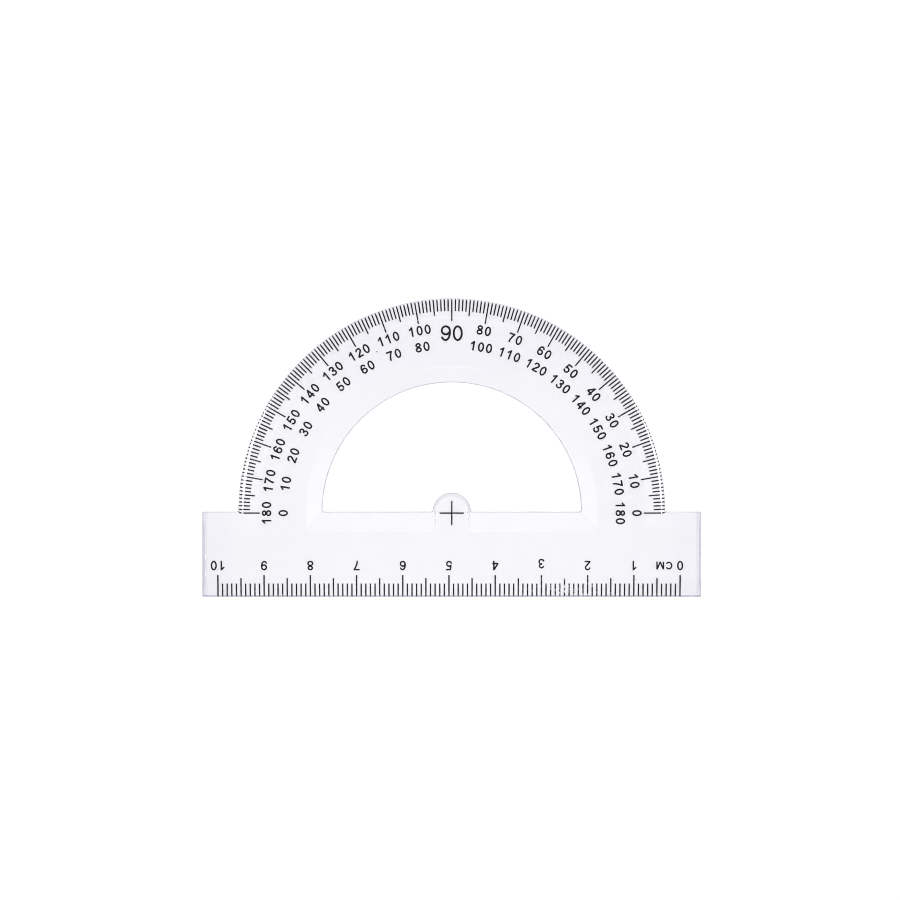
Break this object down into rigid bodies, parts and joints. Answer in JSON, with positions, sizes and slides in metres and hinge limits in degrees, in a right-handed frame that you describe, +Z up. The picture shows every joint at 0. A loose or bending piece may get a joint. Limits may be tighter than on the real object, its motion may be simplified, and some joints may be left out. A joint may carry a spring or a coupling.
{
  "type": "protractor",
  "caption": "Clear half-circle protractor moulded in one with a short bevelled ruler bar, with its scales printed in black on the underside.",
  "frame": {"origin": "the angle vertex, where the arms of the centre cross meet, on the underside that rests on the paper", "axes": "+X along the ruler bar towards the end where both the ruler and the outer degree scale read zero, +Y towards the 90 degree mark, +Z up out of the underside"},
  "size_m": [0.1082, 0.0646, 0.002],
  "materials": {
    "clear_plastic": "polished clear styrene with a faint lavender cast",
    "black_ink": "flat black stamped ink"
  },
  "bodies": {
    "root": {"clear_plate": "clear_plastic", "centimetre_mark_mm_000": "black_ink", "centimetre_mark_mm_010": "black_ink", "centimetre_mark_mm_020": "black_ink", "centimetre_mark_mm_030": "black_ink", "centimetre_mark_mm_040": "black_ink", "centimetre_mark_mm_050": "black_ink", "centimetre_mark_mm_060": "black_ink", "centimetre_mark_mm_070": "black_ink", "centimetre_mark_mm_080": "black_ink", "centimetre_mark_mm_090": "black_ink", "centimetre_mark_mm_100": "black_ink", "centre_cross": "black_ink", "five_degree_mark_005": "black_ink", "five_degree_mark_015": "black_ink", "five_degree_mark_025": "black_ink", "five_degree_mark_035": "black_ink", "five_degree_mark_045": "black_ink", "five_degree_mark_055": "black_ink", "five_degree_mark_065": "black_ink", "five_degree_mark_075": "black_ink", "five_degree_mark_085": "black_ink", "five_degree_mark_095": "black_ink", "five_degree_mark_105": "black_ink", "five_degree_mark_115": "black_ink", "five_degree_mark_125": "black_ink", "five_degree_mark_135": "black_ink", "five_degree_mark_145": "black_ink", "five_degree_mark_155": "black_ink", "five_degree_mark_165": "black_ink", "five_degree_mark_175": "black_ink", "half_centimetre_mark_mm_005": "black_ink", "half_centimetre_mark_mm_015": "black_ink", "half_centimetre_mark_mm_025": "black_ink", "half_centimetre_mark_mm_035": "black_ink", "half_centimetre_mark_mm_045": "black_ink", "half_centimetre_mark_mm_055": "black_ink", "half_centimetre_mark_mm_065": "black_ink", "half_centimetre_mark_mm_075": "black_ink", "half_centimetre_mark_mm_085": "black_ink", "half_centimetre_mark_mm_095": "black_ink", "ten_degree_mark_000": "black_ink", "ten_degree_mark_010": "black_ink", "ten_degree_mark_020": "black_ink", "ten_degree_mark_030": "black_ink", "ten_degree_mark_040": "black_ink", "ten_degree_mark_050": "black_ink", "ten_degree_mark_060": "black_ink", "ten_degree_mark_070": "black_ink", "ten_degree_mark_080": "black_ink", "ten_degree_mark_090": "black_ink", "ten_degree_mark_100": "black_ink", "ten_degree_mark_110": "black_ink", "ten_degree_mark_120": "black_ink", "ten_degree_mark_130": "black_ink", "ten_degree_mark_140": "black_ink", "ten_degree_mark_150": "black_ink", "ten_degree_mark_160": "black_ink", "ten_degree_mark_170": "black_ink", "ten_degree_mark_180": "black_ink"}
  },
  "joints": []
}
